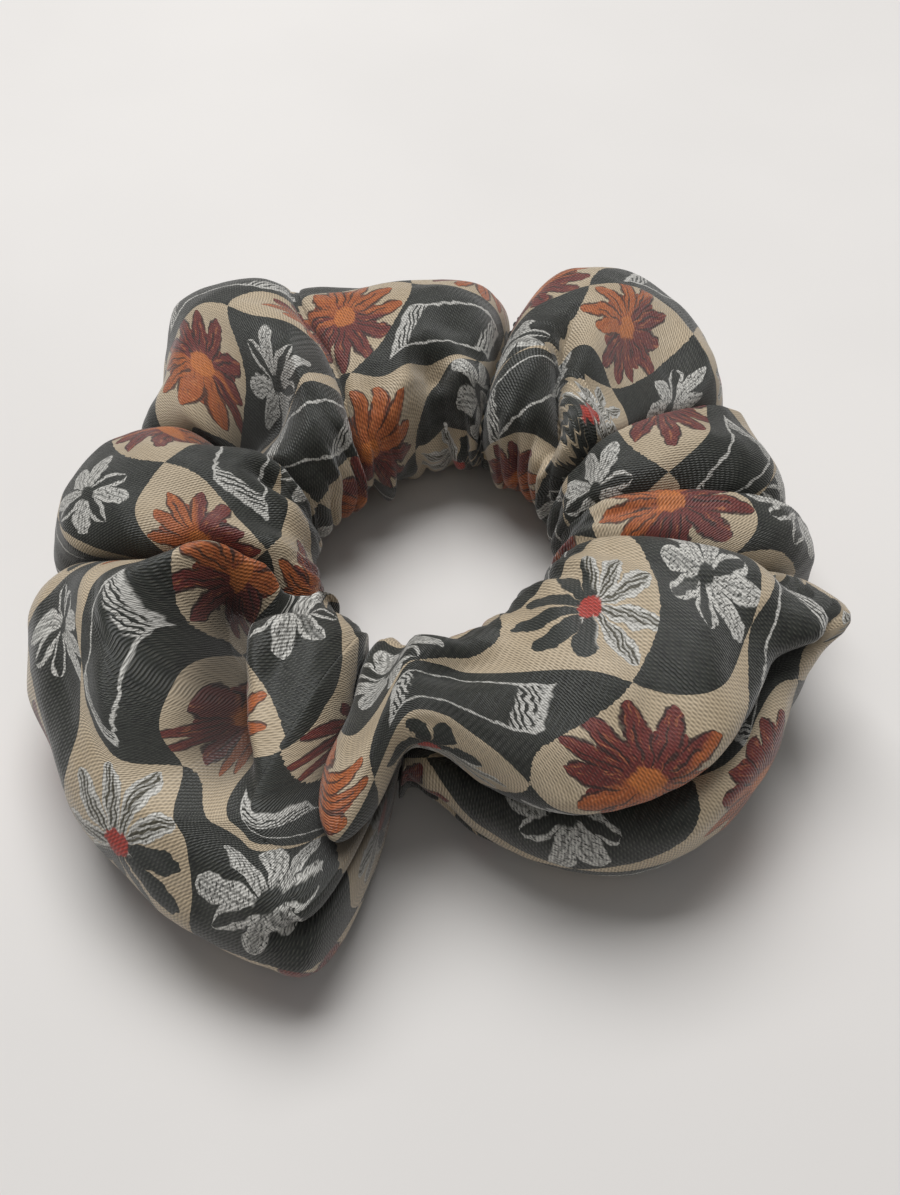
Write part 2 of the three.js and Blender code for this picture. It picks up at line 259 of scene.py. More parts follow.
def distance_to_path(angle, turn, path, radius):
    """The distance in millimetres on the surface from each point to a path of straight stretches."""
    x = angle * np.pi / 180 * radius
    y = turn * SECTION_MM
    best = np.full(np.broadcast(x, y).shape, 1e9)
    along_all = np.zeros_like(best)
    for k, ((a0, t0), (a1, t1)) in enumerate(zip(path[:-1], path[1:])):
        x0, x1 = a0 * np.pi / 180 * radius, a1 * np.pi / 180 * radius
        y0, y1 = t0 * SECTION_MM, t1 * SECTION_MM
        dx, dy = x1 - x0, y1 - y0
        f = np.clip(((x - x0) * dx + (y - y0) * dy) / (dx * dx + dy * dy), 0, 1)
        d = np.hypot(x - x0 - f * dx, y - y0 - f * dy)
        nearer = d < best
        best = np.where(nearer, d, best)
        along_all = np.where(nearer, (k + f) / (len(path) - 1), along_all)
    return best, along_all


def ripples(angle, turn, seed, count, shortest, longest):
    """Gentle unevenness: a sum of plane waves over the surface, with random directions and lengths."""
    rng = np.random.default_rng(seed)
    x = angle * np.pi / 180 * RIPPLE_RADIUS
    y = turn * SECTION_MM
    total = np.zeros(np.broadcast(x, y).shape)
    for _ in range(count):
        heading = rng.uniform(0, np.pi)
        length = rng.uniform(shortest, longest)
        total += np.sin(2 * np.pi * (x * np.cos(heading) + y * np.sin(heading)) / length + rng.uniform(0, 6.28))
    return total / math.sqrt(count)


def drawn_in(a, t):
    """For a grid of angles round the ring and round the section: the angle each point really lies at, how far
    the creases and furrows draw it in, how much of that the creases, pleats and furrows alone make, from which the
    painted shade in them is worked out, and how far it leans over a crease."""
    # Each crease line wanders from its own angle, and carries the surface beside it.
    moved = a.copy()
    for c in CREASES:
        moved = moved + (round_section(c["line"], t) - c["at"]) * tent(a, c)
    for pull in PULLS:
        (g0, g1), (f0, f1) = pull["grows"], pull["fades"]
        share = smoothstep((a - g0) / (g1 - g0)) * (1 - smoothstep((a - f0) / (f1 - f0)))
        moved = moved + round_section(pull["shift"], t) * share
    # Drawn in by each crease; where two overlap, the deeper one wins.
    drop = np.zeros_like(a)
    lean = np.zeros_like(a)
    for c in CREASES:
        if c.get("neck"):
            continue
        off = a - c["at"]
        rise = shoulder(off, c["before"], c["after"])
        sunk = round_section(c["depth"], t) * (1 - rise)
        sunk = sunk + round_section(c["slit"], t) * slit(off, c["before"], c["after"])
        drop = np.maximum(drop, sunk)
        reach = np.where(off < 0, c["before"], c["after"])
        fade = 1 - smoothstep((np.abs(off) - reach) / (1.5 * reach))
        lean += round_section(c["lean"], t) * rise * fade * np.sqrt(tent(a, c))
    # Small pleats at the elastic, round the inner side.
    at_elastic = np.exp(-(((np.mod(t, 360) - 205) / 42) ** 2))
    phase = (moved + 3.5 * np.sin(np.radians(moved * 5.3)) + 0.05 * (np.mod(t, 360) - 180)) / 8.2 * np.pi
    pleat = 2.2 * at_elastic * (1 - np.abs(np.sin(phase))) ** 1.3
    drop = drop + pleat
    for f in FURROWS:
        path = f["path"]
        upper = path[0][1] > 90 or path[-1][1] > 90
        local_turn = np.where(np.mod(t, 360) > 240, np.mod(t, 360) - 360, np.mod(t, 360))
        d, along = distance_to_path(moved, local_turn, path, 34.0 if upper else 45.0)
        q = np.clip(d / f["width"], 0, 1)
        rise = smoothstep(q) if f.get("dish") else np.sqrt(1 - (1 - q) ** 2 + 0.004 * (1 - q))
        fading = smoothstep(np.minimum(along, 1 - along) * len(path) * 0.9 + 0.1)
        drop = drop + f["depth"] * (1 - np.minimum(rise, 1)) * fading
    deep = drop
    drop = drop + 0.9 * np.exp(-(((np.mod(t - SEAM_TURN + 180, 360) - 180) / 1.9) ** 2))
    for at, section, spread, section_spread, height in SWELLINGS:
        off = (np.mod(t - section + 180, 360) - 180) / section_spread
        drop = drop - height * np.exp(-(((moved - at) / spread) ** 2) - off**2)
    drop = drop + 0.32 * ripples(moved, t, 5, 14, 9, 20) + 0.05 * ripples(moved, t, 8, 16, 3, 6)
    gathered = 0.35 + 0.65 * np.sin(np.radians(np.clip(np.mod(t + 90, 360) - 90, 0, 180)) * 0.5) ** 2
    drop = drop + 0.5 * gathered * ripples(moved, t * 0.25, 21, 9, 7, 14)
    return moved, drop, deep, lean


def sleeve_points(angle, turn):
    """The sleeve's surface in millimetres about the ring's axis, for a grid of angles round the ring and
    round the section. A full outline, a superellipse, is drawn in towards the middle by the creases,
    pleats and furrows, and leans over some creases. Gives with it the painted shade for each point, which grows the
    further the creases, pleats and furrows draw it in."""
    a = np.broadcast_to(angle, np.broadcast(angle, turn).shape).astype(float)
    t = np.broadcast_to(turn, a.shape).astype(float)
    moved, drop, deep, lean = drawn_in(a, t)
    inner, outer, under, top = (between(OUTLINE, moved, k) for k in range(1, 5))
    cos, sin = np.cos(np.radians(t)), np.sin(np.radians(t))
    r = (inner + outer) / 2 + (outer - inner) / 2 * np.sign(cos) * np.abs(cos) ** FULLNESS
    z = (under + top) / 2 + (top - under) / 2 * np.sign(sin) * np.abs(sin) ** FULLNESS
    # Drawn in towards a point beyond the elastic. At the bottoms of a few deep pleats this crosses the elastic.
    away_r, away_z = r - MIDDLE[0], z - MIDDLE[1]
    reach = np.hypot(away_r, away_z)
    kept = np.maximum(1 - drop / np.maximum(reach, 1e-6), 0.25)
    r, z = MIDDLE[0] + away_r * kept, MIDDLE[1] + away_z * kept
    # At the closing join the whole section gathers into the neck.
    rise = np.minimum(shoulder(a - CLOSING_ANGLE, 9, 10), shoulder(a - CLOSING_ANGLE - 360, 9, 10))
    neck_r, neck_z = neck_outline(t)
    r, z = neck_r + (r - neck_r) * rise, neck_z + (z - neck_z) * rise
    z = np.where(z < 1.2, 0.15 + 1.05 * np.exp((z - 1.2) / 1.05), z)
    heading = np.radians(moved + lean)
    # The second value is painted shade in the creases: it rises from 0 to 1 as the creases, pleats and furrows draw a
    # point in from 2 to 11 mm.
    return np.stack([r * np.cos(heading), r * np.sin(heading), z], axis=-1), smoothstep((deep - 2.0) / 9.0)


def neck_outline(turn, shrink=0.0):
    """The gathered neck: an ellipse with small even pleats."""
    c, s = np.cos(np.radians(turn)), np.sin(np.radians(turn))
    pleats = 0.35 * np.cos(np.radians(turn * 14))
    return NECK[0] + (NECK[2] - shrink + pleats) * c, NECK[1] + (NECK[3] - shrink + pleats) * s


def grid_angles():
    """Angles round the ring, closer together beside the creases, with each crease and each end on the grid."""
    marks = sorted({c["at"] for c in CREASES} | set(DIVISIONS) | set(LENGTH_ENDS))
    marks = [m for m in marks if DIVISIONS[0] <= m <= DIVISIONS[-1]]
    widths = {c["at"]: (c["before"], c["after"]) for c in CREASES}
    widths[DIVISIONS[-1]] = widths[DIVISIONS[0]]
    angles = [marks[0]]
    for low, high in zip(marks[:-1], marks[1:]):
        first, last = [], []
        start, end = low, high
        if low in widths:
            start = low + SLIT * widths[low][1]
            first = list(np.linspace(low, start, 7)[1:])
        if high in widths:
            end = high - SLIT * widths[high][0]
            last = list(np.linspace(end, high, 7)[1:])
        count = max(6, int(round((end - start) / 0.62)))
        f = np.linspace(0, 1, count + 1)[1:]
        if low in widths and high in widths:
            f = (1 - np.cos(f * np.pi)) / 2
        elif low in widths:
            f = f**1.7
        elif high in widths:
            f = 1 - (1 - f) ** 1.7
        angles.extend([*first, *(start + (end - start) * f), *last])
    return np.array(angles)


SECTION_STEPS = 236


def sleeve_grid():
    """The whole sleeve on one grid: angles round the ring, turns round the section, the points, and the
    painted shade of each one in deep creases, pleats and furrows."""
    angles = grid_angles()
    turns = SEAM_TURN + np.linspace(0, 360, SECTION_STEPS + 1)
    return angles, turns, *sleeve_points(angles[:, None], turns[None, :])


# ---------------------------------------------------------------------------------------------------------
# Laying the print on the sleeve. Each panel is the cloth between two creases. It has the angle where its
# own measuring starts, and how the print is turned, shifted and scaled there.
PANELS = [
    dict(ends=(74, 113), start=93.5, turn=359, shift=(18.3, -26.1), scale=1.08),
    dict(ends=(113, 155), start=134, turn=228, shift=(73.7, 27.1), scale=0.96),
    dict(ends=(155, 187), start=171, turn=1, shift=(69.1, 39.2), scale=1.12),
    dict(ends=(187, 256), start=233, turn=241, shift=(37.8, -10.5), scale=0.86),
    dict(ends=(256, 346), start=303.5, turn=15, shift=(101.8, 23.4), scale=0.87),
    dict(ends=(346, 368), start=361, turn=334, shift=(57.3, 3.3), scale=0.93),
    dict(ends=(368, 391), start=385, turn=225, shift=(60.8, 29.9), scale=1.12),
    dict(ends=(391, 434), start=416, turn=153, shift=(138.1, 27.8), scale=1.04),
]


def lay_print(angles, points):
    """Print coordinates in millimetres for each panel: the length along the sleeve is measured on the
    surface from the panel's start, and the length round the section is measured down the start's own line
    from the top. Gives one grid of coordinates for each panel."""
    steps = np.linalg.norm(np.diff(points, axis=0), axis=-1)
    along = np.concatenate([np.zeros((1, points.shape[1])), np.cumsum(steps, axis=0)])
    top = int(round((90 - SEAM_TURN) / 360 * SECTION_STEPS))
    laid = []
    for panel in PANELS:
        low = int(np.argmin(abs(angles - panel["ends"][0])))
        high = int(np.argmin(abs(angles - panel["ends"][1])))
        start = int(np.argmin(abs(angles - panel["start"])))
        girth = np.concatenate([[0], np.cumsum(np.linalg.norm(np.diff(points[start], axis=0), axis=-1))])
        s = along - along[start]
        g = np.broadcast_to(girth - girth[top], s.shape)
        turn = math.radians(panel["turn"])
        u = (s * math.cos(turn) - g * math.sin(turn)) * panel["scale"] + panel["shift"][0]
        v = (s * math.sin(turn) + g * math.cos(turn)) * panel["scale"] + panel["shift"][1]
        laid.append((low, high, np.stack([u, v], axis=-1)))
    return laid


# ---------------------------------------------------------------------------------------------------------
# Mesh making

def new_object(name, vertices, faces, material, coordinates=None):
    """An object at the origin from arrays: vertices in metres, faces as rows of three or four, and one pair
    of print coordinates for each corner of each face."""
    mesh = bpy.data.meshes.new(name)
    sides = faces.shape[1]
    mesh.vertices.add(len(vertices))
    mesh.vertices.foreach_set("co", np.ascontiguousarray(vertices, np.float32).ravel())
    mesh.loops.add(faces.size)
    mesh.loops.foreach_set("vertex_index", faces.ravel().astype(np.int32))
    mesh.polygons.add(len(faces))
    mesh.polygons.foreach_set("loop_start", np.arange(0, faces.size, sides, dtype=np.int32))
    mesh.polygons.foreach_set("loop_total", np.full(len(faces), sides, np.int32))
    mesh.update(calc_edges=True)
    mesh.shade_smooth()
    if coordinates is not None:
        layer = mesh.uv_layers.new(name="print")
        layer.data.foreach_set("uv", np.ascontiguousarray(coordinates, np.float32).ravel())
    mesh.materials.append(material)
    mesh.validate()
    made = bpy.data.objects.new(name, mesh)
    bpy.context.scene.collection.objects.link(made)
    return made


def grid_faces(rows, columns, closed):
    """Faces of a grid whose columns close on themselves if asked."""
    i = np.arange(rows - 1)[:, None]
    j = np.arange(columns if closed else columns - 1)[None, :]
    k = (j + 1) % columns
    corners = [i * columns + j, (i + 1) * columns + j, (i + 1) * columns + k, i * columns + k]
    return np.stack(corners, axis=-1).reshape(-1, 4)


def at_ring(points):
    """Millimetres about the ring's axis on the table to metres in the model's frame."""
    return points * MM + np.array([RING[0], RING[1], 0.0])


# ---------------------------------------------------------------------------------------------------------
# Shader nodes, written as sums

class Value:
    """A shader socket that can be added, multiplied and compared like a number."""

    def __init__(self, tree, socket):
        self.tree, self.socket = tree, socket

    def math(self, operation, *others, clamp=False):
        node = self.tree.nodes.new("ShaderNodeMath")
        node.operation = operation
        node.use_clamp = clamp
        for slot, value in zip(node.inputs, (self, *others)):
            if isinstance(value, Value):
                self.tree.links.new(value.socket, slot)
            else:
                slot.default_value = value
        return Value(self.tree, node.outputs[0])

    def __add__(self, other): return self.math("ADD", other)
    def __radd__(self, other): return self.math("ADD", other)
    def __sub__(self, other): return self.math("SUBTRACT", other)
    def __rsub__(self, other): return (self * -1).math("ADD", other)
    def __mul__(self, other): return self.math("MULTIPLY", other)
    def __rmul__(self, other): return self.math("MULTIPLY", other)
    def __truediv__(self, other): return self.math("DIVIDE", other)
    def __gt__(self, other): return self.math("GREATER_THAN", other)
    def __lt__(self, other): return self.math("LESS_THAN", other)
    def floor(self): return self.math("FLOOR")
    def sin(self): return self.math("SINE")
    def cos(self): return self.math("COSINE")
    def abs(self): return self.math("ABSOLUTE")
    def root(self): return self.math("SQRT")
    def wrap(self, size): return self.math("WRAP", size, 0.0)
    def most(self, other): return self.math("MAXIMUM", other)

    def ramp(self, low, high):
        """0 below low, 1 above high and smooth between; low may be the larger."""
        node = self.tree.nodes.new("ShaderNodeMapRange")
        node.interpolation_type = "SMOOTHSTEP"
        node.inputs["From Min"].default_value = low
        node.inputs["From Max"].default_value = high
        self.tree.links.new(self.socket, node.inputs["Value"])
        return Value(self.tree, node.outputs["Result"])


def pair(tree, x, y, z=None):
    node = tree.nodes.new("ShaderNodeCombineXYZ")
    for slot, value in zip(node.inputs, (x, y, z)):
        if isinstance(value, Value):
            tree.links.new(value.socket, slot)
        elif value is not None:
            slot.default_value = value
    return Value(tree, node.outputs[0])


def parts(tree, vector):
    node = tree.nodes.new("ShaderNodeSeparateXYZ")
    tree.links.new(vector.socket, node.inputs[0])
    return [Value(tree, out) for out in node.outputs]


def noise(tree, vector, scale, detail=2.0, roughness=0.5):
    node = tree.nodes.new("ShaderNodeTexNoise")
    node.inputs["Scale"].default_value = scale
    node.inputs["Detail"].default_value = detail
    node.inputs["Roughness"].default_value = roughness
    tree.links.new(vector.socket, node.inputs["Vector"])
    return Value(tree, node.outputs["Fac"])


def chance(tree, vector):
    """A random number for each whole step of the vector."""
    node = tree.nodes.new("ShaderNodeTexWhiteNoise")
    node.noise_dimensions = "3D"
    tree.links.new(vector.socket, node.inputs["Vector"])
    return Value(tree, node.outputs["Value"])


def paint(tree, under, over, amount):
    """One colour over another by an amount."""
    node = tree.nodes.new("ShaderNodeMix")
    node.data_type = "RGBA"
    node.clamp_factor = True
    factor, a, b = node.inputs["Factor"], node.inputs[6], node.inputs[7]
    if isinstance(amount, Value):
        tree.links.new(amount.socket, factor)
    else:
        factor.default_value = amount
    for slot, colour in ((a, under), (b, over)):
        if isinstance(colour, Value):
            tree.links.new(colour.socket, slot)
        else:
            slot.default_value = (*colour, 1.0)
    return Value(tree, node.outputs[2])


def new_group(name, inputs, outputs):
    group = bpy.data.node_groups.new(name, "ShaderNodeTree")
    for label, kind, default in inputs:
        socket = group.interface.new_socket(name=label, in_out="INPUT", socket_type=kind)
        if default is not None:
            socket.default_value = default
    for label, kind in outputs:
        group.interface.new_socket(name=label, in_out="OUTPUT", socket_type=kind)
    start, end = group.nodes.new("NodeGroupInput"), group.nodes.new("NodeGroupOutput")
    given = {label: Value(group, start.outputs[label]) for label, _, _ in inputs}
    return group, given, end


def placed(tree, group, **values):
    """The group placed in a material: its inputs linked or set, and its outputs by name."""
    node = tree.nodes.new("ShaderNodeGroup")
    node.node_tree = group
    for label, value in values.items():
        slot = node.inputs[label.replace("_", " ")]
        if isinstance(value, Value):
            tree.links.new(value.socket, slot)
        else:
            slot.default_value = value
    return {out.name: Value(tree, out) for out in node.outputs}


def linear(code):
    """A colour from its red, green and blue in 0 to 255 as seen on a screen."""
    c = np.array([int(code[i:i + 2], 16) for i in (0, 2, 4)]) / 255
    return tuple(np.where(c <= 0.04045, c / 12.92, ((c + 0.055) / 1.055) ** 2.4).tolist())


def daisy(tree, x, y, heading, radius, petals, seed, thick):
    """Pointed petals round a centre, each with its own length. Gives how far across its petal a point is
    (below 1 is inside), the petal's number, the distances along and across it, and its random number."""
    angle = y.math("ARCTAN2", x) + heading
    step = 2 * math.pi / petals
    number = (angle / step).floor()
    luck = chance(tree, pair(tree, number.wrap(petals), seed, 0.5))
    off = angle - (number + 0.5 + (luck - 0.5) * 0.3) * step
    out = (x * x + y * y).root()
    along, across = out * off.cos(), out * off.sin()
    share = (along / (radius * (luck * 0.3 + 0.82))).math("MAXIMUM", 0.0).math("POWER", 1.6)
    half = (share * (1 - share) * 4.0).math("MAXIMUM", 0.0).math("POWER", 0.58) * (radius * thick)
    return across.abs() / half.most(0.0005), number, along, across, luck


def make_print_group():
    """A wavy chequer of two grounds with a flower or a lozenge drawn in each cell."""
    group, given, end = new_group(
        "Wavy chequer print",
        [("Position", "NodeSocketVector", None), ("Cell", "NodeSocketFloat", 22.4),
         ("Dark", "NodeSocketColor", (0, 0, 0, 1)), ("Pale", "NodeSocketColor", (1, 1, 1, 1)),
         ("Orange", "NodeSocketColor", (1, 0.3, 0, 1)), ("Maroon", "NodeSocketColor", (0.3, 0, 0, 1)),
         ("Chalk", "NodeSocketColor", (0.8, 0.8, 0.8, 1)), ("Red", "NodeSocketColor", (0.6, 0, 0, 1))],
        [("Color", "NodeSocketColor")],
    )
    tree = group
    u, v, _ = parts(tree, given["Position"])
    cell = given["Cell"]
    slant = math.radians(54)
    swing = 0.17

    # The chequer's two directions meet at a slant, and its lines swing from side to side once every two cells.
    x, y = (u - v * (1 / math.tan(slant))) / cell, v / (cell * math.sin(slant))
    x = x + (noise(tree, pair(tree, u, v), 1.6, 1.0) - 0.5) * 0.03
    p = x + (y * math.pi).sin() * swing + (y * 0.9 + 1.0).sin() * 0.05
    q = y + (x * math.pi).sin() * swing + (x * 0.8 + 2.0).sin() * 0.05
    i, j = p.floor(), q.floor()
    dark_cell = ((i + j).wrap(2.0)).math("COMPARE", 1.0, 0.5)
    kind = i.wrap(2.0).math("COMPARE", 1.0, 0.5)
    third = i.wrap(3.0).math("COMPARE", 0.0, 0.5)
    # The cell's middle before its lines swing.
    ci, cj = i + 0.5, j + 0.5
    mx = ci - (cj * math.pi).sin() * (swing * 0.87) - (cj * 0.9 + 1.0).sin() * 0.05
    my = cj - (ci * math.pi).sin() * (swing * 0.87) - (ci * 0.8 + 2.0).sin() * 0.05
    fx = u - (mx + my * math.cos(slant)) * cell
    fy = v - my * (math.sin(slant)) * cell
    mark = i * 17.0 + j * 31.0
    luck = chance(tree, pair(tree, i, j, 3.0))
    luck2 = chance(tree, pair(tree, i, j, 9.0))
    heading = luck * 6.28
    grain = pair(tree, u, v)
    fuzz = noise(tree, grain, 1.1, 3.0, 0.6)
    fx = fx + (noise(tree, grain, 0.45) - 0.5) * 1.6
    fy = fy + (noise(tree, pair(tree, v, u), 0.45) - 0.5) * 1.6
    chalky = noise(tree, pair(tree, u * 1.0, v * 3.2), 1.3, 3.0, 0.7)

    # Grounds, with a faint mottling on the dark one
    mottle = noise(tree, grain, 0.9, 2.0, 0.6)
    dark = paint(tree, given["Dark"], (0.004, 0.005, 0.004), (mottle.ramp(0.5, 0.62)) * 0.55)
    pale = paint(tree, given["Pale"], linear("bba686"), noise(tree, grain, 0.12, 2.0).ramp(0.35, 0.7) * 0.5)
    ground = paint(tree, pale, dark, dark_cell)

    # Two-tone flower on the pale ground
    inside, number, along, across, petal_luck = daisy(tree, fx, fy, heading, 9.8, 11, mark, 0.155)
    back, _, _, _, _ = daisy(tree, fx, fy, heading + 0.29, 6.8, 11, mark + 5.0, 0.18)
    body = (inside + (fuzz - 0.5) * 0.5).ramp(1.06, 0.94)
    body_back = (back + (fuzz - 0.5) * 0.5).ramp(1.06, 0.94)
    out = (fx * fx + fy * fy).root()
    half = (fx * heading.cos() + fy * heading.sin() + (petal_luck - 0.5) * 5.0).ramp(-0.6, 0.6)
    tone = paint(tree, given["Orange"], given["Maroon"], half)
    tone = paint(tree, tone, linear("d07a3a"), (fuzz.ramp(0.52, 0.7)) * (1 - half) * 0.6)
    streak = noise(tree, pair(tree, across * 2.4, along * 0.4, mark + number), 1.0, 2.0, 0.6)
    tone = paint(tree, tone, linear("d98d58"), streak.ramp(0.56, 0.68) * 0.45)
    tone = paint(tree, tone, linear("4a1d1a"), streak.ramp(0.44, 0.34) * 0.5)
    tone_back = paint(tree, tone, given["Maroon"], 0.45)
    sketch = (inside - 0.95).abs().ramp(0.22, 0.1) * noise(tree, grain, 0.4).ramp(0.35, 0.45)
    vein = (across - 0.2).abs().ramp(0.22, 0.1) * along.ramp(2.4, 3.0)
    vein = vein * along.ramp(8.0, 7.0) * petal_luck.ramp(0.35, 0.45)
    middle = (out + (fuzz - 0.5) * 1.2).ramp(2.1, 1.6)
    flower = paint(tree, ground, tone_back, body_back)
    flower = paint(tree, flower, tone, body)
    flower = paint(tree, flower, (0.02, 0.012, 0.01), (sketch.most(vein)) * 0.8)
    flower = paint(tree, flower, linear("d9803a"), middle * 0.75)

    # Half-chalk, half-dark flower on the pale ground
    inside, _, along, across, petal_luck = daisy(tree, fx, fy, heading, 9.2, 10, mark + 2.0, 0.15)
    body = (inside + (fuzz - 0.5) * 0.4).ramp(1.06, 0.94)
    upper = (fx * (heading * 0.4).sin() + fy * (heading * 0.4).cos() + (petal_luck - 0.5) * 3.0).ramp(-0.3, 0.3)
    rim = (inside - 0.82).abs().ramp(0.34, 0.16)
    strokes = (across * 1.6 + along * 0.3).math("FRACT").ramp(0.42, 0.6)
    chalk_body = body * upper * (rim.most(strokes * 0.75)) * chalky.ramp(0.3, 0.5)
    night = paint(tree, ground, linear("2b2f2a"), body)
    night = paint(tree, night, linear("5b5646"), body * upper * 0.8)
    night = paint(tree, night, given["Chalk"], chalk_body)
    night = paint(tree, night, given["Red"], (out + (fuzz - 0.5) * 1.4).ramp(1.75, 1.35))
    light_cells = paint(tree, flower, night, third)

    # Chalk daisy on the dark ground
    inside, _, along, across, petal_luck = daisy(tree, fx, fy, heading, 7.9, 8, mark + 4.0, 0.19)
    rim = (inside - 0.8).abs().ramp(0.36, 0.16)
    filled = petal_luck.ramp(0.3, 0.4)
    hatch = (across * 1.3 + along * 0.22).math("FRACT").ramp(0.3, 0.5)
    scribble = (rim.most(filled * (hatch * 0.5 + 0.5))) * inside.ramp(1.15, 1.0) * chalky.ramp(0.38, 0.5)
    star = paint(tree, ground, given["Chalk"], scribble * along.ramp(1.0, 1.5))

    # Chalk lozenge with hatched ends on the dark ground
    lean = luck2 * 0.5 + 0.1
    lx = fx * lean.cos() + fy * lean.sin()
    ly = fy * lean.cos() - fx * lean.sin()
    lx = lx - ly * 0.75
    box = (lx.abs() / 10.2).most(ly.abs() / 4.3)
    line = (box - 0.93).abs().ramp(0.075, 0.03)
    ends = lx.abs().ramp(6.2, 6.6) * box.ramp(1.0, 0.95) * (lx * 1.3 + ly * 0.5).math("FRACT").ramp(0.35, 0.5)
    loz = paint(tree, ground, given["Chalk"], (line.most(ends)) * chalky.ramp(0.34, 0.5) * 0.95)
    dark_cells = paint(tree, star, loz, kind)

    colour = paint(tree, light_cells, dark_cells, dark_cell)
    tree.links.new(colour.socket, end.inputs["Color"])
    return group


def make_weave_group():
    """Satin weave: fine slanting ridges with uneven threads. Gives its height and a mask of thread shade, high on the
    threads' tops and low between them, which sets painted shade and painted highlights and also carries some uneven
    thread tone at random.
    """
    group, given, end = new_group(
        "Satin weave",
        [("Position", "NodeSocketVector", None), ("Pitch", "NodeSocketFloat", 0.42)],
        [("Height", "NodeSocketFloat"), ("Shade", "NodeSocketFloat")],
    )
    tree = group
    u, v, _ = parts(tree, given["Position"])
    jitter = noise(tree, given["Position"], 0.8) * 0.5
    slant = ((u + v * 0.42) / given["Pitch"] + jitter) * (2 * math.pi)
    across = ((v - u * 0.15) / (given["Pitch"] * 1.9) + jitter) * (2 * math.pi)
    thread = slant.sin() * 0.5 + 0.5
    float_ = (across + slant * 0.5).sin() * 0.5 + 0.5
    uneven = noise(tree, pair(tree, u * 4.0, v * 0.7), 1.0, 2.0)
    height = thread * 0.7 + float_ * 0.3 + uneven * 0.5
    shade = (thread * 0.6 + float_ * 0.4) * 0.7 + uneven * 0.3
    tree.links.new(height.socket, end.inputs["Height"])
    tree.links.new(shade.socket, end.inputs["Shade"])
    return group


def new_material(name):
    material = bpy.data.materials.new(name)
    material.use_nodes = True
    tree = material.node_tree
    shader = tree.nodes["Principled BSDF"]
    return material, tree, shader


def uv_millimetres(tree):
    node = tree.nodes.new("ShaderNodeUVMap")
    node.uv_map = "print"
    scaled = tree.nodes.new("ShaderNodeVectorMath")
    scaled.operation = "SCALE"
    scaled.inputs["Scale"].default_value = 1000.0
    tree.links.new(node.outputs["UV"], scaled.inputs[0])
    return Value(tree, scaled.outputs[0])


def bump(tree, shader, height, strength, distance):
    node = tree.nodes.new("ShaderNodeBump")
    node.inputs["Strength"].default_value = strength
    node.inputs["Distance"].default_value = distance
    tree.links.new(height.socket, node.inputs["Height"])
    tree.links.new(node.outputs["Normal"], shader.inputs["Normal"])


def surface(tree, shader, colour, rough, height, strength, distance):
    """Joins a material's colour, roughness and relief to its shader."""
    tree.links.new(colour.socket, shader.inputs["Base Color"])
    tree.links.new(rough.socket, shader.inputs["Roughness"])
    bump(tree, shader, height, strength, distance)


def object_place(tree):
    node = tree.nodes.new("ShaderNodeTexCoord")
    return Value(tree, node.outputs["Object"])


def make_satin():
    settings = bpy.context.scene.scrunchie_cloth
    material, tree, shader = new_material("Printed satin")
    place = uv_millimetres(tree)
    drawn = placed(
        tree, make_print_group(), Position=place, Cell=settings.cell / MM,
        Dark=(*settings.dark, 1), Pale=(*settings.pale, 1), Orange=(*settings.orange, 1),
        Maroon=(*settings.maroon, 1), Chalk=(*settings.chalk, 1), Red=(*settings.red, 1),
    )
    weave = placed(tree, make_weave_group(), Position=place, Pitch=settings.pitch / MM)
    worn = noise(tree, place, 0.06, 3.0)
    # Painted shade between the weave's threads and a painted highlight on their tops, then a faint worn tone at
    # random.
    shaded = paint(tree, drawn["Color"], (0.0, 0.0, 0.0), (1 - weave["Shade"]).ramp(0.2, 0.85) * 0.5)
    lit = paint(tree, shaded, (0.8, 0.72, 0.6), weave["Shade"].ramp(0.6, 0.95) * 0.07)
    lit = paint(tree, lit, (0.25, 0.22, 0.19), worn.ramp(0.5, 0.8) * 0.04)
    # Painted shade: the colour is darkened towards near black where the sleeve lies deep in creases, pleats and
    # furrows.
    fold_shade = tree.nodes.new("ShaderNodeAttribute")
    fold_shade.attribute_name = "fold_shade"
    final = paint(tree, lit, (0.012, 0.011, 0.010), Value(tree, fold_shade.outputs["Fac"]) * 0.78)
    shader.inputs["Sheen Weight"].default_value = 0.3
    shader.inputs["Sheen Roughness"].default_value = 0.45
    shader.inputs["Specular IOR Level"].default_value = 0.45
    surface(tree, shader, final, weave["Shade"] * -0.16 + 0.58, weave["Height"], 0.7, 0.00015)
    return material


def make_elastic_material():
    material, tree, shader = new_material("Woven elastic")
    place = uv_millimetres(tree)
    u, v, _ = parts(tree, place)
    cords = (v * (2 * math.pi / 0.9)).sin() * 0.5 + 0.5
    picks = (u * (2 * math.pi / 0.7) + (v * (math.pi / 0.9)).floor() * math.pi).sin() * 0.5 + 0.5
    height = cords * 0.6 + picks * 0.4
    # Painted shade: the pale elastic is darker where the weave's cords and picks are low.
    colour = paint(tree, linear("b9b6ae"), linear("f1efe9"), height.ramp(0.1, 0.7))
    surface(tree, shader, colour, height * -0.1 + 0.85, height, 0.7, 0.0002)
    return material


def make_thread_material():
    settings = bpy.context.scene.scrunchie_thread
    material, tree, shader = new_material("Sewing thread")
    x, y, z = parts(tree, object_place(tree))
    twist = ((x + y * 0.8 + z * 1.3) * (2 * math.pi / 0.00032)).sin() * 0.5 + 0.5
    # Painted shade: the thread is darker down in the grooves of its twist.
    colour = paint(tree, tuple(c * 0.55 for c in settings.colour), tuple(settings.colour), twist)
    surface(tree, shader, colour, twist * -0.1 + 0.7, twist, 0.4, 0.00006)
    return material


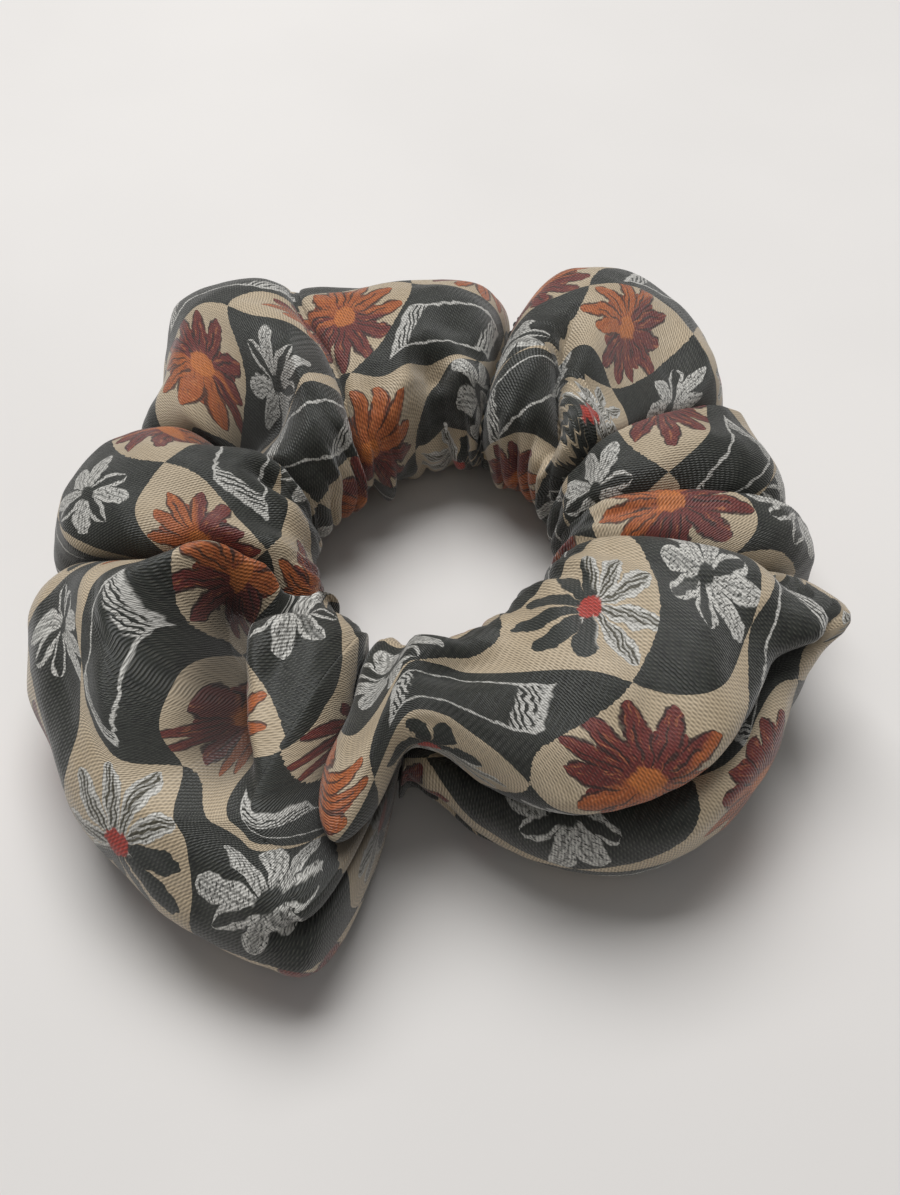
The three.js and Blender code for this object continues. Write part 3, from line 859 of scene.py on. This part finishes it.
def make_paper():
    settings = bpy.context.scene.scrunchie_stage
    material, tree, shader = new_material("Pale table")
    mottled = noise(tree, object_place(tree), 6.0, 4.0).ramp(0.35, 0.65)
    colour = paint(tree, tuple(settings.colour), tuple(c * 0.94 for c in settings.colour), mottled)
    tree.links.new(colour.socket, shader.inputs["Base Color"])
    shader.inputs["Roughness"].default_value = 0.7
    return material


# ---------------------------------------------------------------------------------------------------------
# Settings

def length_setting(name, description, default, **more):
    return bpy.props.FloatProperty(name=name, description=description, default=default, unit="LENGTH", **more)


def colour_setting(name, description, code):
    return bpy.props.FloatVectorProperty(name=name, description=description, subtype="COLOR", default=linear(code))


class ScrunchieCloth(bpy.types.PropertyGroup):
    """The sleeve's cloth and its print"""

    girth: length_setting("Girth", "Width of the sleeve's strip, without its seam allowances", 0.111)
    cell: length_setting("Cell", "Size of the print's cells", 0.0224)
    pitch: length_setting("Thread pitch", "Distance between the weave's slanting ridges", 0.00042, precision=5)
    dark: colour_setting("Dark ground", "Colour of the dark cells", "2a2d27")
    pale: colour_setting("Pale ground", "Colour of the pale cells", "cdbb9f")
    orange: colour_setting("Orange", "Light tone of the two-tone flowers", "b4602f")
    maroon: colour_setting("Maroon", "Dark tone of the two-tone flowers", "742e29")
    chalk: colour_setting("Chalk", "Colour of the chalk lines", "dedcd5")
    red: colour_setting("Red", "Middle of the chalk and dark flowers", "b5382b")


class ScrunchieElastic(bpy.types.PropertyGroup):
    """The flat elastic"""

    width: length_setting("Width", "Width of the elastic", 0.007)
    thickness: length_setting("Thickness", "Thickness of the elastic", 0.0014)


class ScrunchieThread(bpy.types.PropertyGroup):
    """The sewing thread"""

    stitch: length_setting("Stitch", "Length of one stitch", 0.0026)
    thickness: length_setting("Thickness", "Thickness of the thread", 0.00036, precision=5)
    colour: colour_setting("Colour", "Colour of the thread", "2a2d2b")


class ScrunchieStage(bpy.types.PropertyGroup):
    """Table, lights and camera"""

    colour: colour_setting("Table", "Colour of the table", "e4e1de")
    distance: length_setting("Distance", "Distance from the camera to the ring", 0.229)
    elevation: bpy.props.FloatProperty(
        name="Elevation", description="Height of the camera above the table, as an angle",
        default=math.radians(48.9), unit="ROTATION",
    )
    lens: bpy.props.FloatProperty(
        name="Lens", description="Focal length on a 36 mm frame, in millimetres", default=46.0,
    )


# ---------------------------------------------------------------------------------------------------------
# Operators

def division_plane(k):
    """The direction in which gathers k and k + 1 part."""
    first, second = (np.radians(LENGTH_ENDS[i]) for i in (k, k + 1))
    heading = np.array([np.cos(second) - np.cos(first), np.sin(second) - np.sin(first), 0.0])
    return heading / np.linalg.norm(heading)


def blend_over(piece, k, inner_radius=18.5):
    """Works out where a piece would bend over the joint between gathers k and k + 1: from where the ends of its length
    of sleeve come nearest to the plane between the gathers, on either side. Nothing uses these ends; the piece only
    has its transform baked into its mesh."""
    heading = division_plane(k)
    at = np.radians(DIVISIONS[k + 1])
    on_plane = np.array([np.cos(at), np.sin(at), 0.0]) * inner_radius
    before = np.radians(LENGTH_ENDS[k])
    after = np.radians(LENGTH_ENDS[k + 1])
    if DIVISIONS[k + 1] == PULLED_DIVISION:
        before = np.radians(LENGTH_ENDS[k] + PULLS[0]["shift"][2])
    low = (np.array([np.cos(before), np.sin(before), 0.0]) * inner_radius - on_plane) @ heading
    high = (np.array([np.cos(after), np.sin(after), 0.0]) * inner_radius - on_plane) @ heading
    base = at_ring(on_plane)
    start, end = (tuple(base + heading * reach * MM * 0.98) for reach in (low, high))
    GATHERS[k + 1]
    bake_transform(piece)


def carry(piece, n, node, inner_radius=18.5, first=None):
    """Carries length n: the first and last ride the end gathers, and the others only have their transforms baked into
    their meshes. Each stands for the solid of its gather, but where the first has its own, the second stands for the
    first gather's."""
    if n in (0, len(GATHERS)):
        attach(piece, GATHERS[0 if n == 0 else -1])
    else:
        blend_over(piece, n - 1, inner_radius)
    if n == 0 and first:
        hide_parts(first)
    elif n != 1 or first:
        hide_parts(f"{node}_{max(n, 1):02d}")


class SCRUNCHIE_OT_sleeve(bpy.types.Operator):
    """Make the gathered sleeve in its twelve lengths"""

    bl_idname = "scrunchie.sleeve"
    bl_label = "Sleeve"

    def execute(self, context):
        satin = make_satin()
        angles, turns, points, fold_shades = sleeve_grid()
        laid = lay_print(angles, points)
        corner_uv = np.zeros((len(angles) - 1, len(turns) - 1, 4, 2))
        for low, high, uv in laid:
            part = uv[low:high + 1]
            corner_uv[low:high] = np.stack([part[:-1, :-1], part[1:, :-1], part[1:, 1:], part[:-1, 1:]], axis=2)
        ends = [int(np.argmin(abs(angles - e))) for e in [DIVISIONS[0], *LENGTH_ENDS, DIVISIONS[-1]]]
        columns = len(turns) - 1
        for n, (low, high) in enumerate(zip(ends[:-1], ends[1:])):
            body = points[low:high + 1, :-1].copy()
            fold_shade = fold_shades[low:high + 1, :-1]
            uv = corner_uv[low:high]
            if n == 0:
                body, uv = with_tuck(body, uv)
                fold_shade = np.pad(fold_shade, ((len(body) - len(fold_shade), 0), (0, 0)), mode="edge")
            if n == len(ends) - 2:
                body, uv = with_hem(body, uv)
                fold_shade = np.pad(fold_shade, ((0, len(body) - len(fold_shade)), (0, 0)), mode="edge")
            faces = grid_faces(len(body), columns, True)
            vertices = at_ring(body.reshape(-1, 3))
            piece = new_object(f"sleeve_length_{n + 1:02d}", vertices, faces, satin, uv.reshape(-1, 2) * MM)
            # Each point's painted shade in deep creases, pleats and furrows, read by the satin material.
            depth = piece.data.attributes.new("fold_shade", "FLOAT", "POINT")
            depth.data.foreach_set("value", fold_shade.reshape(-1).astype(np.float32))
            carry(piece, n, "sleeve_gather", first="sleeve_tucked_end")
        return {"FINISHED"}


def into_mouth():
    """The direction in which the closing join slides, into the last gather."""
    first, last = np.radians(LENGTH_ENDS[0]), np.radians(LENGTH_ENDS[-1])
    heading = np.array([np.cos(last) - np.cos(first), np.sin(last) - np.sin(first), 0.0])
    return heading / np.linalg.norm(heading)


def run_on(edge, steps, sides):
    """Print coordinates for rows of faces that go on past an edge row: each corner keeps the edge's place round
    the section, and moves along the sleeve by its step. sides says which corners of the edge row it shares."""
    rows = len(steps) - 1
    uv = np.zeros((rows, len(edge), 4, 2))
    for corner, (row, column) in enumerate(((0, 0), (1, 0), (1, 1), (0, 1))):
        uv[:, :, corner, 0] = edge[:, sides[column], 0][None, :] + steps[row:rows + row, None]
        uv[:, :, corner, 1] = edge[:, sides[column], 1][None, :]
    return uv


def with_tuck(body, uv):
    """The first length goes on past its neck as a gathered tube, straight into the mouth of the last."""
    f = np.linspace(1, 0, 24)[:-1, None, None]
    tube = body[0][None] + into_mouth() * TUCK_LENGTH * f
    extra = run_on(uv[0], -np.linspace(TUCK_LENGTH, 0, 24), (0, 3))
    return np.concatenate([tube, body]), np.concatenate([extra, uv])


def with_hem(body, uv):
    """The last length ends in a mouth, whose edge turns in on itself as a hem."""
    heading = into_mouth()
    last = body[-1]
    at = np.radians(CLOSING_ANGLE)
    centre = np.array([NECK[0] * np.cos(at), NECK[0] * np.sin(at), NECK[1]])
    rows = []
    for share in np.linspace(0, 1, 12)[1:]:
        roll = min(share * 3, 1) * np.pi
        shrink = 0.5 * (1 - math.cos(roll)) / 2
        forward = -0.25 * math.sin(roll) + max(share - 1 / 3, 0) * 9.0
        rows.append(centre + (last - centre) * (1 + (0.35 - shrink) / 8.0) + heading * forward)
    extra = run_on(uv[-1], np.linspace(0, 7, 12), (1, 2))
    return np.concatenate([body, np.array(rows)]), np.concatenate([uv, extra])


SECTION_SIDES = 24  # points round a band's section


def band_section(middle, half, height, tall):
    """A rounded oblong, a superellipse: distances from the ring's axis and heights, round the section."""
    a = np.linspace(0, 2 * np.pi, SECTION_SIDES, endpoint=False) + np.pi / SECTION_SIDES
    c, s = np.cos(a), np.sin(a)
    return middle + half * np.sign(c) * np.abs(c) ** 0.35, height + tall * np.sign(s) * np.abs(s) ** 0.25


def strip(radius_from, radius_to, height_from, height_to, path_angles):
    """A band round the ring's axis as a closed solid: its section carried along an arc."""
    r, z = band_section(
        (radius_from + radius_to) / 2, (radius_to - radius_from) / 2,
        (height_from + height_to) / 2, (height_to - height_from) / 2,
    )
    p = np.radians(path_angles)[:, None]
    return np.stack([r * np.cos(p), r * np.sin(p), np.broadcast_to(z, (len(path_angles), SECTION_SIDES))], axis=-1)


def join_outward():
    """The direction outwards at the closing join."""
    at = math.radians(CLOSING_ANGLE + 0.75)
    return np.array([math.cos(at), math.sin(at), 0.0])


def unit(vectors):
    return vectors / np.linalg.norm(vectors, axis=-1, keepdims=True)


def capped(grid):
    """Closes a tube's two ends with a fan about each end's middle. Gives vertices and triangles."""
    rows, columns = grid.shape[:2]
    quads = grid_faces(rows, columns, True)
    triangles = np.concatenate([quads[:, [0, 1, 2]], quads[:, [0, 2, 3]]])
    vertices = np.concatenate([grid.reshape(-1, 3), grid[0].mean(axis=0)[None], grid[-1].mean(axis=0)[None]])
    j = np.arange(columns)
    k = (j + 1) % columns
    start, end = rows * columns, rows * columns + 1
    caps = np.concatenate([
        np.stack([np.full(columns, start), j, k], axis=1),
        np.stack([np.full(columns, end), (rows - 1) * columns + k, (rows - 1) * columns + j], axis=1),
    ])
    return vertices, np.concatenate([triangles, caps])


def facing_out(vertices, triangles):
    """The triangles turned so that the solid's volume is positive."""
    a, b, c = (vertices[triangles[:, n]] for n in range(3))
    volume = np.einsum("ij,ij->i", a, np.cross(b, c)).sum()
    return triangles if volume > 0 else triangles[:, ::-1]


def band_uv(vertices, triangles, radius):
    """Coordinates for a band: the arc's length and the height."""
    flat = np.stack([np.arctan2(vertices[:, 1], vertices[:, 0]) * radius, vertices[:, 2]], axis=-1)
    return flat[triangles].reshape(-1, 2) * MM


class SCRUNCHIE_OT_elastic(bpy.types.Operator):
    """Make the flat elastic in its lengths, with its lapped end"""

    bl_idname = "scrunchie.elastic"
    bl_label = "Elastic"

    def execute(self, context):
        settings = context.scene.scrunchie_elastic
        material = make_elastic_material()
        radius, height = ELASTIC_RADIUS, ELASTIC_HEIGHT
        half, tall = settings.thickness / MM / 2, settings.width / MM / 2
        ends = [DIVISIONS[0], *LENGTH_ENDS, DIVISIONS[-1]]
        for n, (low, high) in enumerate(zip(ends[:-1], ends[1:])):
            path = np.linspace(low, high, 26)
            grid = strip(radius - half, radius + half, height - tall, height + tall, path)
            vertices, triangles = capped(grid)
            triangles = facing_out(vertices, triangles)
            coordinates = band_uv(vertices, triangles, radius)
            piece = new_object(f"elastic_length_{n + 1:02d}", at_ring(vertices), triangles, material, coordinates)
            carry(piece, n, "elastic", 26.0)
        lap = self.lap(material, radius + half + 0.3, height, tall)
        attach(lap, GATHERS[0])
        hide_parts("elastic_lapped_end")
        return {"FINISHED"}

    def lap(self, material, inner, height, tall):
        """The lapped end: a straight band into the mouth of the last gather."""
        out, z = band_section(inner + 0.6, 0.6, height, tall)
        section = join_outward() * out[:, None] + np.array([0, 0, 1.0]) * z[:, None]
        grid = section[None] + into_mouth() * np.linspace(0.25, TUCK_LENGTH, 24)[:, None, None]
        vertices, triangles = capped(grid)
        triangles = facing_out(vertices, triangles)
        flat = np.stack([vertices @ into_mouth(), vertices[:, 2]], axis=-1)
        coordinates = flat[triangles].reshape(-1, 2) * MM
        return new_object("elastic_lap", at_ring(vertices), triangles, material, coordinates)


def stitches(centres, tangents, normals, length, radius, sink):
    """Many small stitches: each is a six-sided thread that rises out of the cloth and dives back in.
    A stitch's middle line is half a sine arch along the seam, and its ends go below the surface."""
    sides, rows = 6, 6
    f = np.linspace(0, 1, rows)
    along = (f - 0.5) * length
    lift = np.sin(f * np.pi) * 1.6 * radius - sink
    taper = 0.35 + 0.65 * np.sin(f * np.pi) ** 0.5
    a = np.linspace(0, 2 * np.pi, sides, endpoint=False)
    side = np.cross(tangents, normals)
    core = (
        centres[:, None, :] + tangents[:, None, :] * along[None, :, None] + normals[:, None, :] * lift[None, :, None]
    )
    ring = (
        side[:, None, None, :] * np.cos(a)[None, None, :, None]
        + normals[:, None, None, :] * np.sin(a)[None, None, :, None]
    )
    grid = core[:, :, None, :] + ring * (radius * taper)[None, :, None, None]
    one = capped(np.zeros((rows, sides, 3)))[1]
    per = rows * sides + 2
    middles = np.concatenate([grid[:, :1].mean(axis=2), grid[:, -1:].mean(axis=2)], axis=1)
    every = np.concatenate([grid.reshape(len(grid), -1, 3), middles], axis=1)
    test = facing_out(every[0], one)
    triangles = (np.arange(len(grid))[:, None, None] * per + test[None]).reshape(-1, 3)
    return every.reshape(-1, 3), triangles


class SCRUNCHIE_OT_seam(bpy.types.Operator):
    """Make the rows of stitches along the long seam"""

    bl_idname = "scrunchie.seam"
    bl_label = "Long seam"

    def execute(self, context):
        settings = context.scene.scrunchie_thread
        material = make_thread_material()
        angles = np.arange(DIVISIONS[0], DIVISIONS[-1] + 0.001, 0.25)
        turn = np.array([SEAM_TURN - 2, SEAM_TURN, SEAM_TURN + 2])
        points = sleeve_points(angles[:, None], turn[None, :])[0]
        middle = points[:, 1]
        tangents = unit(np.gradient(middle, axis=0))
        normals = unit(np.cross(tangents, points[:, 2] - points[:, 0]))
        at = np.radians(angles)
        core = [MIDDLE[0] * np.cos(at), MIDDLE[0] * np.sin(at), np.full(len(angles), MIDDLE[1])]
        outward = middle - np.stack(core, axis=-1)
        normals *= np.sign(np.einsum("ij,ij->i", normals, outward))[:, None]
        run = np.concatenate([[0], np.cumsum(np.linalg.norm(np.diff(middle, axis=0), axis=1))])
        ends = [DIVISIONS[0] + 1.5, *LENGTH_ENDS, DIVISIONS[-1] - 1.5]
        stitch = settings.stitch / MM
        for n, (low, high) in enumerate(zip(ends[:-1], ends[1:])):
            a, b = np.interp([low, high], angles, run)
            count = max(3, int((b - a) / stitch))
            at = a + (np.arange(count) + 0.5) * (b - a) / count
            centre, tangent, normal = (
                np.stack([np.interp(at, run, grid[:, k]) for k in range(3)], axis=-1)
                for grid in (middle, tangents, normals)
            )
            radius = settings.thickness / MM / 2
            vertices, triangles = stitches(centre, unit(tangent), unit(normal), stitch * 0.72, radius, 0.42)
            piece = new_object(f"seam_stitches_{n + 1:02d}", at_ring(vertices), triangles, material)
            carry(piece, n, "seam_thread")
        return {"FINISHED"}


class SCRUNCHIE_OT_closing(bpy.types.Operator):
    """Make the stitches round the mouth of the closing join and the elastic's tack"""

    bl_idname = "scrunchie.closing"
    bl_label = "Closing stitches and tack"

    def execute(self, context):
        settings = context.scene.scrunchie_thread
        material = bpy.data.materials["Sewing thread"]
        turns = np.linspace(0, 360, 31)[:-1]
        angle = DIVISIONS[-1] - 1.6
        points = sleeve_points(np.array([[angle - 0.6], [angle], [angle + 0.2]]), turns[None, :])[0]
        centre = points[1]
        tangent = unit(np.roll(centre, -1, axis=0) - np.roll(centre, 1, axis=0))
        normal = unit(np.cross(points[2] - points[0], tangent))
        at = math.radians(angle)
        axis = np.array([MIDDLE[0] * math.cos(at), MIDDLE[0] * math.sin(at), MIDDLE[1]])
        normal *= np.sign(np.einsum("ij,ij->i", normal, centre - axis))[:, None]
        radius = settings.thickness / MM / 2
        vertices, triangles = stitches(centre, tangent, normal, 2.2, radius, 0.1)
        piece = new_object("mouth_stitches", at_ring(vertices), triangles, material)
        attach(piece, GATHERS[-1])
        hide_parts("closing_stitches")

        outward = join_outward()
        along = 4 + np.arange(13) * 0.6
        up = np.where(np.arange(13) % 2, 2.0, -2.0)
        upwards = np.array([0, 0, 1.0]) * (ELASTIC_HEIGHT + up)[:, None]
        corners = outward * 29.75 + into_mouth() * along[:, None] + upwards
        middles = (corners[1:] + corners[:-1]) / 2
        steps = np.diff(corners, axis=0)
        lengths = np.linalg.norm(steps, axis=1)
        normal = np.broadcast_to(outward, steps.shape)
        vertices, triangles = stitches(middles, steps / lengths[:, None], normal, lengths[0] * 1.02, radius, 0.1)
        tack = new_object("tack_stitches", at_ring(vertices), triangles, material)
        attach(tack, GATHERS[0])
        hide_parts("elastic_tack")
        return {"FINISHED"}


class SCRUNCHIE_OT_stage(bpy.types.Operator):
    """Make the table, the lights and the camera"""

    bl_idname = "scrunchie.stage"
    bl_label = "Stage"

    def execute(self, context):
        settings = context.scene.scrunchie_stage
        size = 1.6
        corners = np.array([[-size, -size, 0], [size, -size, 0], [size, size, 0], [-size, size, 0]], float)
        table = new_object("table", corners, np.array([[0, 1, 2, 3]]), make_paper())
        self.light("key_from_behind", (-0.12, 0.42, 1.05), 0.8, 12.9)
        self.light("fill_from_front", (0.15, -0.75, 0.75), 0.9, 0.4)
        world = bpy.data.worlds.new("Soft studio")
        world.use_nodes = True
        world.node_tree.nodes["Background"].inputs["Color"].default_value = (1.0, 0.992, 0.985, 1)
        world.node_tree.nodes["Background"].inputs["Strength"].default_value = 0.19
        context.scene.world = world
        context.scene.view_settings.view_transform = "Standard"

        data = bpy.data.cameras.new("camera")
        camera = bpy.data.objects.new("camera", data)
        context.scene.collection.objects.link(camera)
        data.lens = settings.lens
        data.clip_start = 0.01
        down = settings.elevation
        target = RING * (1, 1, 0) + np.array([0.00033, -0.0007, 0.0143])
        place = target + settings.distance * np.array([0, -math.cos(down), math.sin(down)])
        camera.location = place
        tilt, swing = math.radians(1.54), math.radians(0.59)
        camera.rotation_euler = (math.pi / 2 - down - tilt, 0, -swing)
        context.scene.camera = camera
        return {"FINISHED"}

    def light(self, name, place, size, watts):
        data = bpy.data.lights.new(name, "AREA")
        data.size = size
        data.energy = watts
        lamp = bpy.data.objects.new(name, data)
        lamp.location = place
        aim = -np.array(place)
        tip = math.pi - math.acos(aim[2] / np.linalg.norm(aim))
        lamp.rotation_euler = (tip, 0, math.atan2(aim[1], aim[0]) - math.pi / 2)
        bpy.context.scene.collection.objects.link(lamp)


class SCRUNCHIE_PT_panel(bpy.types.Panel):
    """Lists the scrunchie's pieces in the order they are made"""

    bl_idname = "SCRUNCHIE_PT_panel"
    bl_label = "Scrunchie"
    bl_space_type = "VIEW_3D"
    bl_region_type = "UI"
    bl_category = "Scrunchie"

    def draw(self, context):
        for group in SETTINGS:
            settings = getattr(context.scene, group)
            box = self.layout.box()
            for name in settings.__annotations__:
                box.prop(settings, name)
        for operator in OPERATORS:
            self.layout.operator(operator.bl_idname)


OPERATORS = (SCRUNCHIE_OT_sleeve, SCRUNCHIE_OT_elastic, SCRUNCHIE_OT_seam, SCRUNCHIE_OT_closing, SCRUNCHIE_OT_stage)
SETTINGS = {
    "scrunchie_cloth": ScrunchieCloth,
    "scrunchie_elastic": ScrunchieElastic,
    "scrunchie_thread": ScrunchieThread,
    "scrunchie_stage": ScrunchieStage,
}


def register():
    for name, kind in SETTINGS.items():
        bpy.utils.register_class(kind)
        setattr(bpy.types.Scene, name, bpy.props.PointerProperty(type=kind))
    for kind in (*OPERATORS, SCRUNCHIE_PT_panel):
        bpy.utils.register_class(kind)


def unregister():
    for kind in reversed((*OPERATORS, SCRUNCHIE_PT_panel)):
        bpy.utils.unregister_class(kind)
    for name, kind in reversed(SETTINGS.items()):
        delattr(bpy.types.Scene, name)
        bpy.utils.unregister_class(kind)


def main():
    register()
    for operator in ("sleeve", "elastic", "seam", "closing", "stage"):
        getattr(bpy.ops.scrunchie, operator)()


if __name__ == "__main__":
    main()
